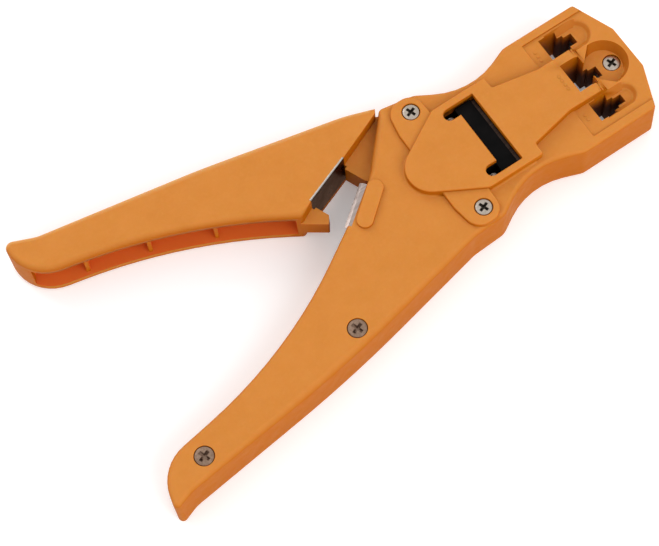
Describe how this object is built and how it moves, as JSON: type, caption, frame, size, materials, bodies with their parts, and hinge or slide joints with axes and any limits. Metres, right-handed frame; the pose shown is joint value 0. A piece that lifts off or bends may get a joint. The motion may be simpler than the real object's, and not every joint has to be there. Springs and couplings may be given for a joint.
{
  "type": "crimping tool",
  "caption": "Two-handled hand crimper for modular plugs: one handle swings, driving a sliding ram with crimping dies into plug sockets in the head, with a wire cutter between the handles.",
  "frame": {"origin": "on the flat rear face, on the line through the middle of the head, under the viewing window", "axes": "+X along the tool towards the head, +Y towards the moving handle, +Z out of the front face"},
  "size_m": [0.2131, 0.1095, 0.0213],
  "materials": {
    "orange_plastic": "fine moulded grain, satin",
    "black_plastic": "smooth moulded, slightly oiled",
    "plated_steel": "nickel plated",
    "bronze_steel": "darkened plating",
    "blade_steel": "ground with a brighter bevel",
    "dark_steel": "blackened, ground edges",
    "die_steel": "hardened, fine ground",
    "spring_steel": "drawn wire",
    "bush_brass": "turned"
  },
  "bodies": {
    "frame_body": {"front_housing": "orange_plastic", "rear_cover": "orange_plastic", "ear_screws": "plated_steel", "head_screw": "plated_steel", "handle_screws": "bronze_steel", "housing_nuts": "plated_steel", "pivot_sleeve": "plated_steel", "spacer_sleeve": "plated_steel", "fixed_blade": "blade_steel", "blade_rivets": "plated_steel", "latch_anvil": "die_steel", "spring_anchors": "plated_steel", "return_spring_left": "spring_steel", "return_spring_right": "spring_steel"},
    "ram_body": {"ram_block": "black_plastic", "pusher_plate": "dark_steel", "die_carrier": "black_plastic", "carrier_screws": "plated_steel", "thrust_pad": "die_steel", "crimp_die_8": "die_steel", "crimp_die_6": "die_steel", "crimp_die_4": "die_steel", "strain_bar_8": "die_steel", "strain_bar_6": "die_steel", "strain_bar_4": "die_steel", "spring_hooks": "plated_steel"},
    "lever_body": {"moving_handle": "orange_plastic", "lever_core": "dark_steel", "pivot_bush": "bush_brass", "lever_rivets": "plated_steel", "backing_plate": "dark_steel", "roller_pin": "plated_steel"},
    "roller_body": {"cam_roller": "die_steel"}
  },
  "joints": [
    {"name": "handle_hinge", "type": "hinge", "parent": "frame_body", "child": "lever_body", "pos_m": [-0.0162, 0.0212, 0.0074], "axis": [0, 0, 1], "range_deg": [0, 16.8], "stiffness_Nm_per_rad": 1.1, "springref_deg": -10.89},
    {"name": "ram_slide", "type": "slide", "parent": "frame_body", "child": "ram_body", "axis": [1, 0, 0], "range_m": [0, 0.0063], "deforming": ["return_spring_left", "return_spring_right"]},
    {"name": "roller_spin", "type": "hinge", "parent": "lever_body", "child": "roller_body", "pos_m": [-0.01933, 0.00003, 0.0074], "axis": [0, 0, 1], "continuous": true}
  ],
  "couplings": [
    {"joint": "ram_slide", "follows": "handle_hinge", "m_per_rad": 0.021324}
  ]
}
